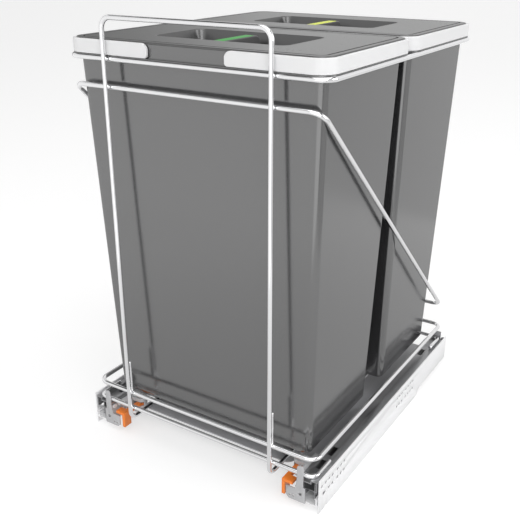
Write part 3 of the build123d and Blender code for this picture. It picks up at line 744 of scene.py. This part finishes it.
def softened(node, width):
    """A merged copy of a pressed or moulded CAD piece, its edges rounded over."""
    mesh = frame["nodes"][node].data.copy()
    work = bmesh.new()
    work.from_mesh(mesh)
    bmesh.ops.remove_doubles(work, verts=work.verts, dist=MERGE_GAP)
    bmesh.ops.dissolve_limit(work, angle_limit=FLAT_TURN, verts=work.verts, edges=work.edges)
    work.to_mesh(mesh)
    work.free()
    mesh.name = node + "_softened"
    mesh.materials.clear()
    mesh.materials.append(finishes[FINISH_OF.get(node.rsplit("_", 1)[0], node_slot[node])])
    smooth_shaded(mesh)
    obj = bpy.data.objects.new(node + "_softened", mesh)
    bpy.context.scene.collection.objects.link(obj)
    bevel = obj.modifiers.new("rounded edges", "BEVEL")
    bevel.width = width
    bevel.segments = 2
    bevel.limit_method = "ANGLE"
    bevel.angle_limit = SHARP_TURN
    bevel.harden_normals = True
    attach(obj, node_body[node])
    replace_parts(obj, node)


def hardware():
    """Softened sheet metal and mouldings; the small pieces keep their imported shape."""
    for name, width in EDGES.items():
        for side in ("left", "right"):
            softened(f"{name}_{side}", width * MM)
    softened("base_plate", BASE_PLATE_EDGE)
    for name, node in frame["nodes"].items():
        if not node.hide_render:
            node.material_slots[0].material = finishes[node_slot[name]]


# ---- the setting -----------------------------------------------------------------------------
SKY = (
    # direction, centre of a band (or None), and the strength going from one value to the other
    ((-0.80, 0.60, 0.05), None, (0.91, 0.995, 1.0, 0.30)),     # dimmer low down behind on the left
    ((0.0, 0.0, 1.0), None, (0.0, 0.5, 0.92, 0.80)),           # and high up
    ((0.0, 0.0, 1.0), 0.77, (0.05, 0.09, 0.10, 1.0)),          # a dark flag all round, overhead
    ((0.616, 0.788, 0.0), 0.0, (0.03, 0.08, 0.25, 1.0)),       # and an upright one by the camera
    ((0.995, 0.096, 0.0), None, (0.68, 0.76, 1.0, 0.72)),      # a grey wall out to the right
    ((0.30, -0.954, 0.0), None, (0.78, 0.90, 1.0, 1.45)),      # the window in front
    ((0.497, 0.778, -0.384), None, (0.85, 0.98, 1.0, 0.80)),   # the floor behind on the right
)
MIRRORED_NEAR, MIRRORED_FAR = 0.30, 0.85        # where the mirrored floor starts to clear, and ends
MIRRORED_DARK, MIRRORED_CLEAR = 0.66, 0.88
FLOOR_SPAN = 14.0
FLOOR_ALBEDO = 0.50
FLOOR_GLOW = 0.56
# the lighting floor's albedo, lower behind the object: painted shade
LIT_FRONT, LIT_REAR = 0.97, 0.66        # the floor that lights the object, in front and behind
LAMPS = (
    # name, place, size, watts
    ("overhead", (0.4, -0.7, 2.4), 2.6, 26.0),
    ("front_right", (2.0, -2.2, 1.5), 1.8, 26.0),
    ("side", (3.0, 0.9, 1.5), 2.0, 30.0),
)
LAMP_TARGET = Vector((0, 0, 0.3))


def grey(value):
    return (value, value, value)


def stage_sheet(name, span, level, material, camera, diffuse, glossy):
    """A level square sheet of the stage, with the kinds of ray that meet it."""
    mesh = bpy.data.meshes.new(name)
    signs = ((-1, -1), (1, -1), (1, 1), (-1, 1))
    mesh.from_pydata([(x * span, y * span, level) for x, y in signs], [], [(0, 1, 2, 3)])
    mesh.materials.append(material)
    sheet = bpy.data.objects.new(name, mesh)
    sheet.visible_camera = camera
    sheet.visible_diffuse = diffuse
    sheet.visible_glossy = glossy
    bpy.context.scene.collection.objects.link(sheet)


def floor_paint(name, front, rear, glow):
    """A matt floor, its albedo going from front to rear across the object; a darker rear is painted
    shade.
    """
    paint = Shader(name)
    along = paint.add("ShaderNodeSeparateXYZ", {}, [paint.place], "Y")
    share = (along * 0.75 + 0.45).clamped(0.0, 1.0)
    return paint.finish(Base_Color=paint.mixed(share, grey(front), grey(rear)), Roughness=0.6,
                        Specular_IOR_Level=0.2, Emission_Color=(1, 1, 1, 1),
                        Emission_Strength=glow)


def mirrored_paint():
    """The floor as the object's own surfaces mirror it: in shade close by, clear further out."""
    paint = Shader("shaded floor, as mirrored")
    reach = paint.add("ShaderNodeVectorMath", {"operation": "LENGTH"}, [paint.place], "Value")
    share = ((reach - MIRRORED_NEAR) * (1.0 / (MIRRORED_FAR - MIRRORED_NEAR))).clamped(0.0, 1.0)
    level = paint.mixed(share, grey(MIRRORED_DARK), grey(MIRRORED_CLEAR))
    return paint.finish(Base_Color=(0, 0, 0, 1), Specular_IOR_Level=0.0, Emission_Color=level,
                        Emission_Strength=1.0)


def studio_sky():
    """A white sky whose strength depends on direction: the product of the fades in SKY."""
    world = bpy.data.worlds.new("studio sky")
    nodes = Nodes(world)
    where = nodes.add("ShaderNodeTexCoord", {}, {}, "Generated")
    strength = None
    for axis, centre, limits in SKY:
        toward = nodes.add("ShaderNodeVectorMath", {"operation": "DOT_PRODUCT"}, [where, axis],
                           "Value")
        if centre is not None:
            toward = (toward - centre).op("ABSOLUTE")
        inputs = dict(zip(("From Min", "From Max", "To Min", "To Max"), limits), Value=toward)
        fade = nodes.add("ShaderNodeMapRange", {"interpolation_type": "SMOOTHSTEP"}, inputs,
                         "Result")
        strength = fade if strength is None else strength * fade
    backdrop = nodes.tree.nodes["Background"]
    nodes.feed(backdrop.inputs["Strength"], strength)
    nodes.feed(backdrop.inputs["Color"], (1, 1, 1, 1))
    bpy.context.scene.world = world


def setting():
    """Bright studio: a white floor in three sheets, the sky, and large soft lights.

    One sheet is what shows, one lights the object, and one is in its reflections.
    """
    scene = bpy.context.scene
    scene.view_settings.view_transform = "Standard"
    studio_sky()
    shown = floor_paint("studio_floor", FLOOR_ALBEDO, FLOOR_ALBEDO, FLOOR_GLOW)
    stage_sheet("studio_floor", FLOOR_SPAN, 0.0, shown, True, False, False)
    # the floor that lights the object, darker behind as painted shade
    lighting = floor_paint("reflected_floor", LIT_FRONT, LIT_REAR, 0.0)
    stage_sheet("reflected_floor", FLOOR_SPAN, -1 * MM, lighting, False, True, False)
    stage_sheet("mirrored_shade", MIRRORED_FAR, -0.5 * MM, mirrored_paint(), False, False, True)
    for name, spot, size, power in LAMPS:
        lamp = bpy.data.lights.new(name, "AREA")
        lamp.size = size
        lamp.energy = power
        light = bpy.data.objects.new(name, lamp)
        light.location = spot
        aim = LAMP_TARGET - Vector(spot)
        light.rotation_euler = aim.to_track_quat("-Z", "Y").to_euler()
        scene.collection.objects.link(light)


CAMERA_PLACE = (0.52654, -0.88677, 0.65123)
CAMERA_AZIMUTH, CAMERA_ELEVATION = np.radians(32.54), np.radians(22.59)
CAMERA_LENS, CAMERA_SENSOR = 52.96, 36.0        # mm


def camera():
    """In front on the right, a little above, looking down at the unit."""
    level = np.cos(CAMERA_ELEVATION)
    back = Vector((np.sin(CAMERA_AZIMUTH) * level, -np.cos(CAMERA_AZIMUTH) * level,
                   np.sin(CAMERA_ELEVATION)))
    data = bpy.data.cameras.new("camera")
    data.lens = CAMERA_LENS
    data.sensor_width = CAMERA_SENSOR
    eye = bpy.data.objects.new("camera", data)
    eye.location = CAMERA_PLACE
    eye.rotation_euler = back.to_track_quat("Z", "Y").to_euler()
    bpy.context.scene.collection.objects.link(eye)
    bpy.context.scene.camera = eye


camera()
setting()
wire_frame()
weld_spots()
for end in ("front", "rear"):
    bin_shell(end)
    lid_centre, lid_top = lid_shell(end)
    grip_and_tag(end, lid_centre, lid_top)
    for side in ("left", "right"):
        handle_band(side, end)
hardware()
